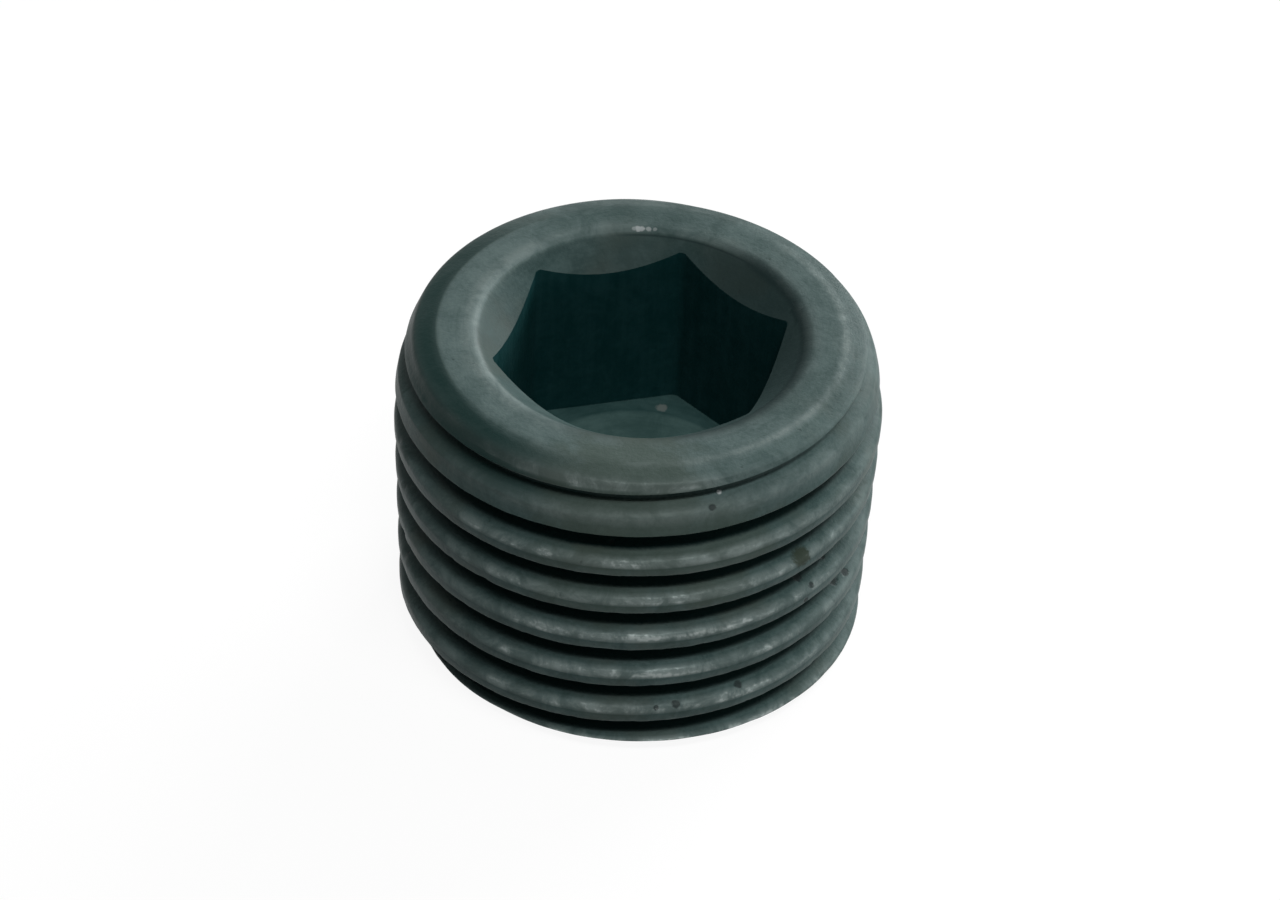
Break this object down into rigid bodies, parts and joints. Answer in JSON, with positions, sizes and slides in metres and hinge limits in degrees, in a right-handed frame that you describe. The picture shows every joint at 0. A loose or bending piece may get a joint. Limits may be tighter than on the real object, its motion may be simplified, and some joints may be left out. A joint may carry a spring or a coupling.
{
  "type": "hex socket plug",
  "caption": "Headless steel plug with a taper pipe thread and a countersunk hexagon socket in its wide end, screwed in to seal an oil or grease port.",
  "frame": {"origin": "middle of the narrow end's face, on the plug's axis", "axes": "+Z along the axis from the narrow end to the wide end, where the socket opens; two corners of the hexagon lie on the Y axis and two of its flats face X"},
  "size_m": [0.0132, 0.0132, 0.0096],
  "materials": {
    "blackened_steel": "black oxide, satin, slightly worn on the thread's edges"
  },
  "bodies": {
    "root": {"plug_body": "blackened_steel"}
  },
  "joints": []
}
